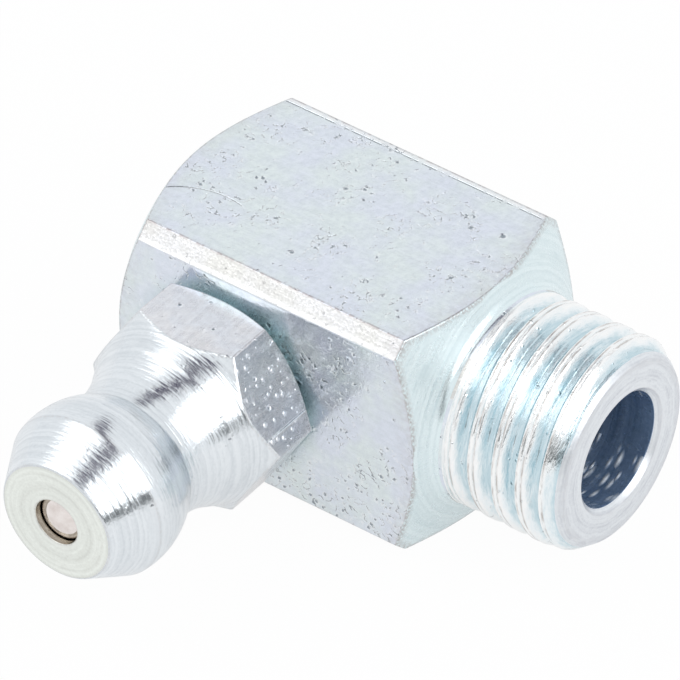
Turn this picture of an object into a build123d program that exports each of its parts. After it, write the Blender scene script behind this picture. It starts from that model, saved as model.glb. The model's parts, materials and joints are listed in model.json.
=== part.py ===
from build123d import *
from math import asin, cos, hypot, pi, radians, sin, sqrt, tan
import os

# Grease nipple, 90 degree elbow type, M8 x 1. All sizes in millimetres.
#
# Frame: the origin is on the thread axis, where the shoulder cone runs out on the shank.
# +X runs along the thread and out of its end, -Y points along the nipple head, +Z is up.
# The square elbow lies on its lower flat.

# --- Elbow body: square drawn bar, both ends turned about the thread axis ---
bar_across_flats = 9.4
bar_corner_flat = 0.56        # leg of the narrow flat along each long edge of the bar
head_axis_to_shoulder = 8.35
head_axis_to_back = 4.85
back_face_d = 9.0
back_cone_angle = 30.0        # cone face to a plane square to the thread axis
shoulder_cone_angle = 27.0
shoulder_fillet = 0.45

# --- Threaded shank, at the major diameter of M8 x 1 ---
shank_d = 7.97
shank_length = 5.0
tip_face_d = 6.9
tip_chamfer_length = 0.7

# --- Grease channel: outlet bore along the shank, cross hole from the head's side ---
outlet_d = 4.35
outlet_mouth_chamfer = 0.2
outlet_past_head_axis = 2.2   # full diameter, short of the drill point
drill_point_angle = 118.0
cross_hole_mouth_chamfer = 0.2

# --- Nipple head: turned from hexagon bar, screwed into the cross hole ---
hex_across_flats = 7.0
hex_turn = -1.5               # where the hexagon came to rest, in degrees about its own axis
hex_height = 2.38             # to where the front chamfer leaves the corners
hex_back_angle = 30.0
hex_front_angle = 45.0
seat_ring_width = 0.57        # flat ring round the stem that meets the body
collar_step = 0.1             # collar below the hexagon's flats
collar_length = 0.21
flare_radius = 3.9
neck_wall = 0.97
neck_land = 0.1
ball_head_d = 6.5
equator_to_cone = 0.5
front_cone_angle = 29.0       # half angle
front_flat_d = 4.56
front_flat_edge = 0.08
stem_wall = 0.8
stem_length = 2.5
stem_end_chamfer = 0.2
stem_clearance = 0.01

# --- Valve inside the head: inlet, ball on its cone seat, spring behind it ---
inlet_d = 1.78
inlet_length = 0.28
inlet_mouth_chamfer = 0.1
ball_over_inlet = 0.61        # how far the ball reaches past the inlet's edge
seat_half_angle = 45.0
ball_seat_gap = 0.02
ball_bore_clearance = 0.2
lip_thickness = 0.5           # lip that is rolled in behind the spring
lip_opening_d = 2.2
spring_wire_d = 0.36
spring_bore_clearance = 0.16
spring_wire_side_count = 8    # the round wire is drawn with eight flats, to keep the coil light
spring_active_turns = 5.0
spring_end_gap = 0.02

# --- Derived sizes ---
bar_half = bar_across_flats / 2
back_x = -(head_axis_to_shoulder + head_axis_to_back)
check_ball_r = inlet_d / 2 + ball_over_inlet
spring_bore_r = check_ball_r + ball_bore_clearance
stem_r = spring_bore_r + stem_wall
hex_corner_r = hex_across_flats / 2 / cos(pi / 6)
collar_r = hex_across_flats / 2 - collar_step
neck_r = spring_bore_r + neck_wall
ball_head_r = ball_head_d / 2

# Heights along the head, from the body's face outwards
flare_drop = collar_r - neck_r
collar_h = hex_height + (hex_corner_r - collar_r) / tan(radians(hex_front_angle))
flare_start_h = collar_h + collar_length
flare_end_h = flare_start_h + sqrt(flare_radius**2 - (flare_radius - flare_drop) ** 2)
equator_h = flare_end_h + neck_land + sqrt(ball_head_r**2 - neck_r**2)
cone_start_h = equator_h + equator_to_cone
cone_start_r = sqrt(ball_head_r**2 - equator_to_cone**2)
cone_length = (cone_start_r - front_flat_d / 2) / tan(radians(front_cone_angle))
front_h = cone_start_h + cone_length

# The ball's centre lies on the head axis, one gap off the seat cone along its normal
seat_h = front_h - inlet_length
seat_apex_h = seat_h + inlet_d / 2 / tan(radians(seat_half_angle))
ball_h = seat_apex_h - (check_ball_r + ball_seat_gap) / sin(radians(seat_half_angle))

# Local X runs out along the head, local Y is the object's +X
head_plane = Plane(origin=(-head_axis_to_shoulder, -bar_half, 0), x_dir=(0, -1, 0), z_dir=(0, 0, 1))


def drill(depth, radius):
    """Hole along -X from the origin, full radius to the given depth, with its drill point."""
    point = radius / tan(radians(drill_point_angle / 2))
    outline = Polyline((0, 0), (0, radius), (-depth, radius), (-depth - point, 0), close=True)
    return revolve(make_face(outline), Axis.X)


def countersink(radius, leg):
    """45 degree countersink along -X from the origin, for the mouth of a hole."""
    outline = Polyline((0, 0), (0, radius + leg), (-leg, radius), (-leg, 0), close=True)
    return revolve(make_face(outline), Axis.X)


def turned_blank():
    """Everything the lathe leaves: back cone, shoulder cone, shank and its chamfered tip."""
    swing_r = hypot(bar_half, bar_half)
    shank_r = shank_d / 2
    back_cone = (swing_r - back_face_d / 2) * tan(radians(back_cone_angle))
    shoulder_cone = (swing_r - shank_r) * tan(radians(shoulder_cone_angle))
    outline = Polyline(
        (back_x, 0),
        (back_x, back_face_d / 2),
        (back_x + back_cone, swing_r),
        (-shoulder_cone, swing_r),
        (0, shank_r),
        (shank_length - tip_chamfer_length, shank_r),
        (shank_length, tip_face_d / 2),
        (shank_length, 0),
        close=True,
    )
    profile = make_face(outline)
    shoulder_root = profile.vertices().sort_by_distance((0, shank_r, 0))[0]
    return revolve(fillet(shoulder_root, shoulder_fillet), Axis.X)


def elbow_body():
    """Square elbow with the threaded shank, the outlet bore and the cross hole."""
    section = Rectangle(bar_across_flats, bar_across_flats)
    section = chamfer(section.vertices(), bar_corner_flat)
    bar = extrude(Plane.YZ.offset(back_x) * section, shank_length - back_x)
    body = bar & turned_blank()

    outlet_depth = shank_length + head_axis_to_shoulder + outlet_past_head_axis
    outlet = drill(outlet_depth, outlet_d / 2) + countersink(outlet_d / 2, outlet_mouth_chamfer)
    body -= Pos(shank_length, 0, 0) * outlet

    cross_hole_r = stem_r + stem_clearance
    cross_hole = drill(bar_half, cross_hole_r) + countersink(cross_hole_r, cross_hole_mouth_chamfer)
    body -= head_plane.location * cross_hole
    return body


def hexagon():
    """Hexagon with a 30 degree back chamfer and a 45 degree front chamfer down to the collar."""
    seat_r = stem_r + seat_ring_width
    back_chamfer = (hex_corner_r - seat_r) * tan(radians(hex_back_angle))
    outline = Polyline(
        (0, 0),
        (0, seat_r),
        (back_chamfer, hex_corner_r),
        (hex_height, hex_corner_r),
        (collar_h, collar_r),
        (collar_h, 0),
        close=True,
    )
    flats = RegularPolygon(hex_across_flats / 2, 6, major_radius=False, rotation=hex_turn)
    prism = extrude(Plane.YZ * flats, collar_h)
    return prism & revolve(make_face(outline), Axis.X)


def nose():
    """Collar, flared neck, ball and front cone, turned in one outline."""
    half_swing = asin((flare_end_h - flare_start_h) / flare_radius) / 2
    flare_mid_h = flare_end_h - flare_radius * sin(half_swing)
    flare_mid_r = neck_r + flare_radius * (1 - cos(half_swing))
    ball_start_h = flare_end_h + neck_land
    edge_h = front_h - front_flat_edge
    edge_r = front_flat_d / 2 + front_flat_edge * tan(radians(front_cone_angle))
    flat_r = front_flat_d / 2 - front_flat_edge
    outline = [
        Polyline((front_h, flat_r), (front_h, 0), (0, 0), (0, collar_r), (flare_start_h, collar_r)),
        ThreePointArc((flare_start_h, collar_r), (flare_mid_h, flare_mid_r), (flare_end_h, neck_r)),
        Line((flare_end_h, neck_r), (ball_start_h, neck_r)),
        ThreePointArc((ball_start_h, neck_r), (equator_h, ball_head_r), (cone_start_h, cone_start_r)),
        Polyline((cone_start_h, cone_start_r), (edge_h, edge_r), (front_h, flat_r)),
    ]
    return revolve(make_face(outline), Axis.X)


def valve_bore():
    """Opening in the rolled lip, spring bore, ball seat cone and inlet."""
    lip_h = lip_thickness - stem_length
    inlet_r = inlet_d / 2
    seat_cone = (spring_bore_r - inlet_r) / tan(radians(seat_half_angle))
    outline = Polyline(
        (-stem_length, 0),
        (-stem_length, lip_opening_d / 2),
        (lip_h, lip_opening_d / 2),
        (lip_h, spring_bore_r),
        (seat_h - seat_cone, spring_bore_r),
        (seat_h, inlet_r),
        (front_h - inlet_mouth_chamfer, inlet_r),
        (front_h, inlet_r + inlet_mouth_chamfer),
        (front_h, 0),
        close=True,
    )
    return revolve(make_face(outline), Axis.X)


def nipple_head():
    """Hexagon, stem and nose in one piece, bored through for the valve."""
    stem = Pos(-stem_length / 2, 0, 0) * Rot(0, 90, 0) * Cylinder(stem_r, stem_length)
    stem = chamfer(stem.edges().sort_by(Axis.X)[0], stem_end_chamfer)
    head = hexagon() + stem + nose() - valve_bore()
    return head_plane.location * head


def check_ball():
    """Steel ball that closes the inlet and moves in along the head's axis."""
    return head_plane.location * Pos(ball_h, 0, 0) * Sphere(check_ball_r)


def winding(start_h, rise, turns, radius):
    """One stretch of the spring's centre line, wound about the head's axis."""
    return Helix(rise / turns, rise, radius, center=(start_h, 0, 0), direction=(1, 0, 0))


def ball_spring():
    """Compression spring with a closed turn at each end, between the lip and the ball."""
    wire_r = spring_wire_d / 2
    coil_r = spring_bore_r - spring_bore_clearance - wire_r
    ball_reach = sqrt((check_ball_r + wire_r + spring_end_gap) ** 2 - coil_r**2)
    low_h = lip_thickness - stem_length + wire_r + spring_end_gap
    high_h = ball_h - ball_reach
    closed = spring_wire_d + spring_end_gap
    active = high_h - low_h - 2 * closed
    part_turn = Rot(360 * (spring_active_turns % 1), 0, 0)
    path = Wire([
        winding(low_h, closed, 1, coil_r),
        winding(low_h + closed, active, spring_active_turns, coil_r),
        part_turn * winding(high_h - closed, closed, 1, coil_r),
    ])
    start = path @ 0
    section_plane = Plane(origin=start, x_dir=(0, start.Y, start.Z), z_dir=path % 0)
    section = section_plane * RegularPolygon(wire_r, spring_wire_side_count)
    spring = sweep(section, path=path, is_frenet=True, transition=Transition.TRANSFORMED)
    return head_plane.location * spring


os.makedirs("parts", exist_ok=True)
for piece in (elbow_body, nipple_head, check_ball, ball_spring):
    solid = piece()
    solid.label = piece.__name__
    export_step(solid, f"parts/{piece.__name__}.step")
    box = solid.bounding_box()
    print(piece.__name__, "volume", round(solid.volume, 3), "mm3, from", box.min, "to", box.max)
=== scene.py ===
# %% [markdown]
# # A right-angle grease nipple in bright zinc-plated steel
# The part has four pieces: a square elbow with a threaded shank, a hexagon head with a ball
# for the grease gun's coupler, and a small steel ball with its spring inside the head. The
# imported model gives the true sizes. Here each piece gets its finished surface: the rolled
# thread, the broken edges and the plating.

# %% Load the frame
import json

import bmesh
import bpy
import numpy as np
from mathutils import Matrix, Vector


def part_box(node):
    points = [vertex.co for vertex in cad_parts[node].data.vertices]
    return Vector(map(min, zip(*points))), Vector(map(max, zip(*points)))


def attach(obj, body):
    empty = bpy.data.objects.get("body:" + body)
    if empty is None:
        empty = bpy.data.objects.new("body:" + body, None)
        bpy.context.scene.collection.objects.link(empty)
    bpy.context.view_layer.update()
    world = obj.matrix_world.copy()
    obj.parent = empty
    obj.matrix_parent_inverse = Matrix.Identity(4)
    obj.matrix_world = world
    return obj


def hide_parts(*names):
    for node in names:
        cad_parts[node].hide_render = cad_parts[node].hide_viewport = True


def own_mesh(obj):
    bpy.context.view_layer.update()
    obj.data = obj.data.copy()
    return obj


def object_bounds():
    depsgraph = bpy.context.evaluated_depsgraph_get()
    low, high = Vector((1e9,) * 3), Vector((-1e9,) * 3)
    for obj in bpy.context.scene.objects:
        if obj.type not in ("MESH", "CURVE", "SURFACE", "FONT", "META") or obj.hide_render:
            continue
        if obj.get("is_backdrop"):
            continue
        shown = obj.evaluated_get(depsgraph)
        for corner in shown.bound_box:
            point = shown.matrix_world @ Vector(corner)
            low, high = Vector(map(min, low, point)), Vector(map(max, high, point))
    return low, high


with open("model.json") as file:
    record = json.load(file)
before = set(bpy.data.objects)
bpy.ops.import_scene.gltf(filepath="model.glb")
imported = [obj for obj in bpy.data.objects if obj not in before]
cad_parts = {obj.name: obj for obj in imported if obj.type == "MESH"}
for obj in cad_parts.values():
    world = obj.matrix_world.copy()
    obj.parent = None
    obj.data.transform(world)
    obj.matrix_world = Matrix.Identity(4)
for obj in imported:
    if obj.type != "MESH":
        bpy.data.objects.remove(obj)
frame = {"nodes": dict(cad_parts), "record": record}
cad_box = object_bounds()
MM = 0.001
print("nodes:", sorted(frame["nodes"]))

# %% [markdown]
# ## Sizes
# The places come from the frame, so the surfaces follow the solids. The elbow's ends and the
# head's front are read from the boxes of their nodes, and the radii from the mounts. What a
# box can't give, such as a chamfer's angle, is named here with its real size.

# %% Sizes of the elbow, in metres
body_low, body_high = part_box("elbow_body")
mounts = {mount["name"]: mount for mount in frame["record"]["mounts"]}
bar_half = body_high.y
back_x = body_low.x
tip_x = body_high.x
shank_r = mounts["thread"]["dims"]["r_mm"] * MM
outlet_r = mounts["outlet_bore"]["dims"]["r_mm"] * MM
outlet_depth = mounts["outlet_bore"]["dims"]["length_mm"] * MM
head_x = mounts["coupler_head"]["pos_m"][0]
front_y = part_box("nipple_head")[0].y

corner_flat = 0.56 * MM
back_face_r = 4.5 * MM
back_cone_slope = np.tan(np.radians(30))
shoulder_angle = np.radians(27)
shoulder_slope = np.tan(shoulder_angle)
shoulder_fillet = 0.45 * MM
fillet_turn = 63.0               # degrees from the cone's line to the shank's
tip_face_r = 3.45 * MM
tip_chamfer = 0.7 * MM
mouth_chamfer = 0.2 * MM
drill_slope = np.tan(np.radians(59))
print("elbow from", back_x / MM, "to", tip_x / MM, "mm, half width", bar_half / MM)

# %% Sizes of the thread, in metres
pitch = 1.0 * MM
thread_depth = 0.37 * MM
crest_half = 0.13 * MM
flank = 0.28 * MM
seam_depth = 0.045 * MM
seam_half = 0.045 * MM
last_crest_back = 0.66 * MM      # from the shank's end to the last crest
last_crest_angle = 120.0         # where round the shank that is, in degrees from +Y
run_out_start = 0.2 * MM
run_out_length = 0.6 * MM

# %% Sizes of the head, in metres. Heights are measured out from the elbow's face.
hex_half = 3.5 * MM
hex_turn = -1.5
hex_corner_r = hex_half / np.cos(np.pi / 6)
hex_height = 2.38 * MM
seat_r = 3.07 * MM
hex_back_slope = np.tan(np.radians(30))
stem_r = 2.5 * MM
stem_length = 2.5 * MM
stem_chamfer = 0.2 * MM
waist_start_h = 3.6 * MM
waist_end_h = 5.503 * MM
chamfer_slope_at_corner = 1.5
neck_r = 2.67 * MM
neck_land = 0.1 * MM
flare_radius = 3.9 * MM
ball_head_r = 3.25 * MM
cone_from_equator = 0.5 * MM
front_flat_r = 2.28 * MM
inlet_r = 0.89 * MM
inlet_length = 0.28 * MM
inlet_edge = 0.03 * MM
spring_bore_r = 1.7 * MM
lip_r = 1.1 * MM
lip_thickness = 0.5 * MM
front_h = -front_y - bar_half
print("head stands", round(front_h / MM, 3), "mm off the elbow's face")

# %% [markdown]
# ## The camera
# A small part is photographed with a long lens from some way off, so its edges hardly
# converge. The camera stands to the right of the head and looks down at about 40 degrees.

# %% Camera
camera_data = bpy.data.cameras.new("studio_camera")
camera = bpy.data.objects.new("studio_camera", camera_data)
bpy.context.scene.collection.objects.link(camera)
bpy.context.scene.camera = camera
camera_data.sensor_width = 36.0
camera_data.lens = 548.47
camera_data.clip_start = 0.02
camera_data.clip_end = 5.0
bpy.context.scene.view_settings.view_transform = "Standard"

camera_place = Vector((159.122, -219.812, 231.233)) * MM
aim = Vector((-7.015, -0.017, -0.972)) * MM
roll = np.radians(-0.561)
forward = (aim - camera_place).normalized()
level = forward.cross(Vector((0, 0, 1))).normalized()
right = level * np.cos(roll) + level.cross(forward) * np.sin(roll)
turn = Matrix((right, right.cross(forward), -forward)).transposed().to_4x4()
camera.matrix_world = Matrix.Translation(camera_place) @ turn
print("camera", round((aim - camera_place).length / MM), "mm from the part")

# %% [markdown]
# ## From rings to a mesh
# Every piece here is a stack of closed rings: a profile carried round an axis. The rings are
# one array of points, so the faces are index arithmetic on the whole array. A stack either
# closes on itself, as the bored head does, or ends in a single point at each pole.

# %% Helper: a closed mesh from a stack of rings
def mesh_from_rings(name, rings, slots=None, closed=False):
    """Joins ring k to ring k + 1, point by point, and the last point of a ring to its first.

    rings has the shape (rings, points round, 3). Where the stack isn't closed, its first and
    last rings are poles, and each becomes one point with a fan of triangles.
    slots gives the material slot of each band between two rings. Six times the volume inside is
    summed from the faces, and a negative sum means that they face inwards, so they are turned.
    """
    count, around = rings.shape[:2]
    bands = count if closed else count - 1
    inner = np.arange(count * around).reshape(count, around)
    points = rings.reshape(-1, 3)
    if not closed:
        points = np.vstack([rings[0, :1], rings[1:-1].reshape(-1, 3), rings[-1, :1]])
        inner = inner - around + 1
        inner[0] = 0
        inner[-1] = len(points) - 1
    low = inner[:bands]
    high = np.roll(inner, -1, axis=0)[:bands]
    quads = np.stack([low, np.roll(low, -1, 1), np.roll(high, -1, 1), high], -1)
    body = quads if closed else quads[1:-1]
    faces = body.reshape(-1, 4).tolist()
    band_slots = np.zeros(bands, int) if slots is None else np.asarray(slots)[:bands]
    face_slots = np.repeat(band_slots if closed else band_slots[1:-1], around)
    if not closed:
        faces += quads[0][:, [1, 2, 3]].tolist() + quads[-1][:, [0, 1, 2]].tolist()
        ends = np.repeat(band_slots[[0, -1]], around)
        face_slots = np.concatenate([face_slots, ends])

    a, b, c = points[quads[..., 0]], points[quads[..., 1]], points[quads[..., 2]]
    d = points[quads[..., 3]]
    volume = (a * np.cross(b, c)).sum() + (a * np.cross(c, d)).sum()
    if volume < 0:
        faces = [face[::-1] for face in faces]
    mesh = bpy.data.meshes.new(name)
    mesh.from_pydata(points.tolist(), [], faces)
    mesh.polygons.foreach_set("material_index", face_slots.astype(np.int32))
    mesh.shade_smooth()
    piece = bpy.data.objects.new(name, mesh)
    bpy.context.scene.collection.objects.link(piece)
    print(name, "rings", count, "points round", around, "volume", round(abs(volume) / 6 / MM**3, 1), "mm3")
    return piece

# %% [markdown]
# ## A lathe profile with broken edges
# Nothing that was turned and then tumbled in a plating barrel keeps a knife edge. So a profile
# is given by its sharp corners, and each corner is cut back by a short curve. The corners may
# differ from one direction round the axis to the next, which is how a cone can run out on the
# flats of a square or a hexagon.

# %% Helper: stations along a profile
def stations(corners, breaks, steps):
    """Straight runs in that many steps, and a parabola at each corner that has a break.

    corners has the shape (corners, directions, 2). The parabola starts and ends one break away
    from its corner, along the two runs, and its middle control point is the corner. A station
    0.03 mm inside each end of a run keeps the smooth shading of the edge off the flat.
    """
    corners = np.asarray(corners, float)
    breaks = np.asarray(breaks, float)
    rows = []
    runs = corners[1:] - corners[:-1]
    lengths = np.linalg.norm(runs, axis=-1, keepdims=True)
    ways = runs / np.maximum(lengths, 1e-12)
    for k in range(len(runs)):
        start = corners[k] + ways[k] * breaks[k]
        end = corners[k + 1] - ways[k] * breaks[k + 1]
        inset = np.minimum(0.03 * MM / np.maximum(lengths[k], 1e-9), 0.2)
        along = inset + (1 - 2 * inset) * np.linspace(0, 1, steps[k] + 1)[:, None, None]
        rows += [start[None]] if k == 0 or breaks[k] > 0 else []
        rows += [start + (end - start) * along, end[None]]
        if k + 1 < len(runs) and breaks[k + 1] > 0:
            t = np.array([0.25, 0.5, 0.75])[:, None, None]
            leave = corners[k + 1] + ways[k + 1] * breaks[k + 1]
            rows.append(end * (1 - t) ** 2 + corners[k + 1] * 2 * t * (1 - t) + leave * t**2)
    return np.concatenate(rows)

def same_all_round(pairs, directions):
    """Corners (x, r) that are the same in every direction round the axis."""
    return np.repeat(np.asarray(pairs, float)[:, None, :], directions, axis=1)

def polygon_radius(angles, distances, normals, sharpness):
    """Distance from the axis to a polygon with slightly rounded edges.

    Each side is a line at a distance d from the axis, met at d / cos(angle from its normal).
    The nearest side wins, and a power mean instead of a plain minimum rounds the edges.
    """
    lean = np.cos(angles[:, None] - normals[None, :])
    reach = distances[None, :] / np.maximum(lean, 0.2)
    nearest = reach.min(axis=1)
    return nearest * ((nearest[:, None] / reach) ** sharpness).sum(axis=1) ** (-1 / sharpness)

def directions_with_edges(step, edges, offsets):
    """Even steps round the axis, and extra directions close to each edge, in radians."""
    even = np.arange(0, 360, step)
    near = (np.asarray(edges)[:, None] + np.asarray(offsets)[None, :]).ravel() % 360
    gap = np.abs((even[:, None] - np.asarray(edges)[None, :] + 180) % 360 - 180).min(1)
    even = even[gap > max(offsets)]
    return np.radians(np.unique(np.round(np.concatenate([even, near]), 6)))

# %% [markdown]
# ## The elbow
# The real elbow is cut from bright square bar. The lathe turns a cone on the back end, and the
# shoulder cone and the shank on the front end, and a die rolls the thread. A box with bevels
# would miss the curved edges where the cones run out on the flats. So the elbow is a function
# of two parameters, the direction round the thread's axis and the station along the profile.

# %% The square bar and its two turned ends
edge_angle = np.degrees(np.arctan2(bar_half - corner_flat, bar_half))
bar_edges = np.array([[k * 90 + edge_angle, k * 90 + 90 - edge_angle] for k in range(4)]).ravel()
fine = (-2.6, -1.7, -1.1, -0.7, -0.4, -0.2, 0.0, 0.2, 0.4, 0.7, 1.1, 1.7, 2.6)
phi = directions_with_edges(2.0, bar_edges, fine)
side_distance = np.where(np.arange(8) % 2 == 0, bar_half, (2 * bar_half - corner_flat) / np.sqrt(2))
side_normal = np.radians(np.arange(8) * 45.0)
bar_edge_sharpness = 420.0

def bar_radius(angles):
    """Distance from the thread's axis to the bar's surface: four flats and four corner flats."""
    return polygon_radius(angles, side_distance, side_normal, bar_edge_sharpness)

def back_edge_x(angles):
    """Where the back cone runs out on the bar: one tan(30) further for each unit of radius."""
    return back_x + (bar_radius(angles) - back_face_r) * back_cone_slope

def shoulder_edge_x(angles):
    """Where the shoulder cone starts on the bar: one tan(27) further back for each unit."""
    return -(bar_radius(angles) - shank_r) * shoulder_slope

reach = bar_radius(phi)
around = len(phi)
bar_profile = same_all_round([(back_x, 0), (back_x, back_face_r), (0, 0), (0, 0), (0, shank_r)], around)
bar_profile[2] = np.stack([back_edge_x(phi), reach], -1)
bar_profile[3] = np.stack([shoulder_edge_x(phi), reach], -1)
fillet_reach = shoulder_fillet * np.tan(np.radians(fillet_turn / 2))
bar_profile[4, :, 0] = -np.sin(shoulder_angle) * fillet_reach
bar_profile[4, :, 1] = shank_r + np.cos(shoulder_angle) * fillet_reach
bar_rows = stations(bar_profile, np.array([0, 0.07, 0.05, 0.06, 0]) * MM, [6, 3, 16, 6])

fillet_angle = np.radians(np.linspace(270 - fillet_turn, 270, 9))[1:]
fillet_rows = same_all_round(np.stack([
    fillet_reach + shoulder_fillet * np.cos(fillet_angle),
    shank_r + shoulder_fillet * (1 + np.sin(fillet_angle)),
], -1), around)
print("bar edges at", np.round(bar_edges, 2), "degrees,", around, "directions")

# %% [markdown]
# ## The rolled thread
# A rolled thread isn't cut: the dies press the root down, and the metal flows up into the
# crest from both sides. Where the two flows don't quite meet, a fine seam stays along the top
# of the crest. A stack of separate grooves would look wrong from the side, so this is one true
# right-hand helix with a pitch of 1 mm.

# %% Thread surface
last_crest_x = tip_x - last_crest_back

def from_crest(x, angles):
    """Distance along the axis to the nearest crest.

    The crest moves on by one pitch for each turn, so its place is the angle's share of a pitch.
    """
    crest_x = last_crest_x + pitch * (angles - np.radians(last_crest_angle)) / (2 * np.pi)
    return (x - crest_x + pitch / 2) % pitch - pitch / 2

def smooth(t):
    """Runs from 0 to 1 with no kink at either end: 3 t squared less 2 t cubed."""
    t = np.clip(t, 0, 1)
    return t * t * (3 - 2 * t)

def thread_radius(x, angles):
    """Crest, smooth flank and root, with the seam on the crest, faded in at the shoulder.

    The chamfer on the shank's tip is a cone that cuts all of it down to its own radius.
    """
    away = from_crest(x, angles)
    full = smooth((x - run_out_start) / run_out_length)
    waver = 1 + 0.05 * np.sin(3 * angles + 1.0) + 0.04 * np.sin(7 * angles + 2.0 * x / MM)
    groove = thread_depth * smooth((np.abs(away) - crest_half) / flank) * waver
    seam = seam_depth * np.exp(-(away / seam_half) ** 2)
    swell = 0.012 * MM * np.sin(2 * angles + 5 * x / MM)
    radius = shank_r - full * (groove + seam) - full * np.abs(swell)
    chamfer_slope = (shank_r - tip_face_r) / tip_chamfer
    chamfer_r = shank_r - chamfer_slope * (x - (tip_x - tip_chamfer))
    return np.minimum(radius, chamfer_r)

thread_stations = 188
thread_x = np.linspace(fillet_reach, tip_x - 0.05 * MM, thread_stations + 1)[1:]
grid_x, grid_phi = np.meshgrid(thread_x, phi, indexing="ij")
thread_rows = np.stack([grid_x, thread_radius(grid_x, grid_phi)], -1)
print("thread", thread_stations, "stations, depth", thread_depth / MM, "mm")

# %% End face, bore and drill point
bore_end_x = tip_x - mouth_chamfer - outlet_depth
tip_corner = thread_radius(np.full(around, tip_x), phi)
end_corners = same_all_round([
    (0, 0), (tip_x, 0), (tip_x, outlet_r + mouth_chamfer), (tip_x - mouth_chamfer, outlet_r),
    (bore_end_x, outlet_r), (bore_end_x - outlet_r / drill_slope, 0),
], around)
end_corners[0] = thread_rows[-1]
end_corners[1, :, 1] = tip_corner
end_rows = stations(end_corners, np.array([0, 0.05, 0.03, 0.03, 0.02, 0]) * MM, [1, 4, 2, 16, 4])

profile = np.concatenate([bar_rows, fillet_rows, thread_rows, end_rows[1:]])
profile[0, :, 1] = 0
elbow_points = np.stack([
    profile[..., 0], profile[..., 1] * np.cos(phi), profile[..., 1] * np.sin(phi)], -1)
elbow = mesh_from_rings("elbow_plated", elbow_points)
print("elbow profile", len(profile), "stations")

# %% [markdown]
# ## The cross hole
# The head's stem sits in a hole that is drilled across the bar into the long bore. A
# revolved profile can't have a hole in its side, so this one is cut with a Boolean, as the
# drill would cut it, and the Boolean is applied. Points that it left almost on each other are
# merged, because slivers catch the light.

# %% Cut the cross hole
cross_hole_r = stem_r + 0.01 * MM
drill_sides = 96
sliver = 0.0001 * MM
hole_corners = same_all_round([
    (0.3 * MM, 0), (0.3 * MM, cross_hole_r + 0.5 * MM), (-0.2 * MM, cross_hole_r),
    (-bar_half, cross_hole_r), (-bar_half - cross_hole_r / drill_slope, 0),
], drill_sides)
hole_angles = np.radians(np.arange(drill_sides) * 360 / drill_sides)
hole_profile = stations(hole_corners, np.zeros(5), [1, 1, 6, 2])

def about_head_axis(profile, angles):
    """Places (height off the elbow's face, radius) round the head's axis, which points to -Y."""
    height, radius = profile[..., 0], profile[..., 1]
    return np.stack([
        head_x + radius * np.cos(angles), -bar_half - height, radius * np.sin(angles)], -1)

drill = mesh_from_rings("cross_drill", about_head_axis(hole_profile, hole_angles))
cut = elbow.modifiers.new("cross_hole", "BOOLEAN")
cut.operation = "DIFFERENCE"
cut.solver = "EXACT"
cut.object = drill
depsgraph = bpy.context.evaluated_depsgraph_get()
cut_mesh = bpy.data.meshes.new_from_object(elbow.evaluated_get(depsgraph))
elbow.modifiers.clear()
elbow.data = cut_mesh
bpy.data.objects.remove(drill)
tidy = bmesh.new()
tidy.from_mesh(cut_mesh)
bmesh.ops.remove_doubles(tidy, verts=tidy.verts, dist=sliver)
bmesh.ops.dissolve_degenerate(tidy, edges=tidy.edges, dist=sliver)
tidy.to_mesh(cut_mesh)
tidy.free()
cut_mesh.shade_smooth()
print("elbow", len(cut_mesh.vertices), "points", len(cut_mesh.polygons), "faces")

# %% [markdown]
# ## Which finish goes where
# The bar's flats were drawn through a die, the cones were turned, the thread was rolled and
# the bores were drilled, and under the plating each still shows its own marks. So each face
# gets the finish of the way it was made, from its place and the way it faces. Points near an
# edge get a number that the materials read, because the plating is thinner and browner there.

# %% Helpers: arrays of a mesh
def face_array(mesh, what):
    """One vector for each face, such as its centre or its normal."""
    flat = np.empty(len(mesh.polygons) * 3, np.float32)
    mesh.polygons.foreach_get(what, flat)
    return flat.reshape(-1, 3).astype(float)

def point_array(mesh):
    """The place of each point of a mesh."""
    flat = np.empty(len(mesh.vertices) * 3, np.float32)
    mesh.vertices.foreach_get("co", flat)
    return flat.reshape(-1, 3).astype(float)

def store(mesh, name, numbers):
    """Keeps one number for each point of a mesh under a name that a material can read."""
    layer = mesh.attributes.new(name, "FLOAT", "POINT")
    layer.data.foreach_set("value", np.asarray(numbers, np.float32))

def near(distance, width):
    """1 at a line and 0 well away from it, on a bell curve of that half width."""
    return np.exp(-(distance / width) ** 2)

def turn_between(angles, edges):
    """Signed turn from each edge to each angle, in radians, the short way round."""
    return (angles[:, None] - edges[None, :] + np.pi) % (2 * np.pi) - np.pi

# %% Finishes of the elbow's faces
centre, normal = face_array(cut_mesh, "center"), face_array(cut_mesh, "normal")
face_r = np.hypot(centre[:, 1], centre[:, 2])
hole_r = np.hypot(centre[:, 0] - head_x, centre[:, 2])
outward = (normal[:, 1] * centre[:, 1] + normal[:, 2] * centre[:, 2]) / np.maximum(face_r, 1e-9)
below_flat = (centre[:, 1] > -bar_half + 0.002 * MM) & (centre[:, 1] < 0)
in_cross_hole = below_flat & (hole_r < cross_hole_r + 0.21 * MM)
in_bore = (outward < -0.3) | ((face_r < outlet_r) & (centre[:, 0] > back_x + 0.01 * MM))
is_end = (normal[:, 0] > 0.5) & (centre[:, 0] > tip_x - mouth_chamfer - 0.02 * MM)
is_shank = (centre[:, 0] > 0.25 * MM) & ~is_end
is_turned = (np.abs(normal[:, 0]) > 0.25) & ~is_shank
is_corner = (np.abs(normal[:, 1]) > 0.55) & (np.abs(normal[:, 2]) > 0.55) & ~is_turned
flat_slot, corner_slot, cone_slot, thread_slot, end_slot, bore_slot = range(6)
elbow_slots = np.select(
    [is_end, in_bore | in_cross_hole, is_shank, is_turned, is_corner],
    [end_slot, bore_slot, thread_slot, cone_slot, corner_slot], flat_slot)
cut_mesh.materials.clear()
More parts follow.
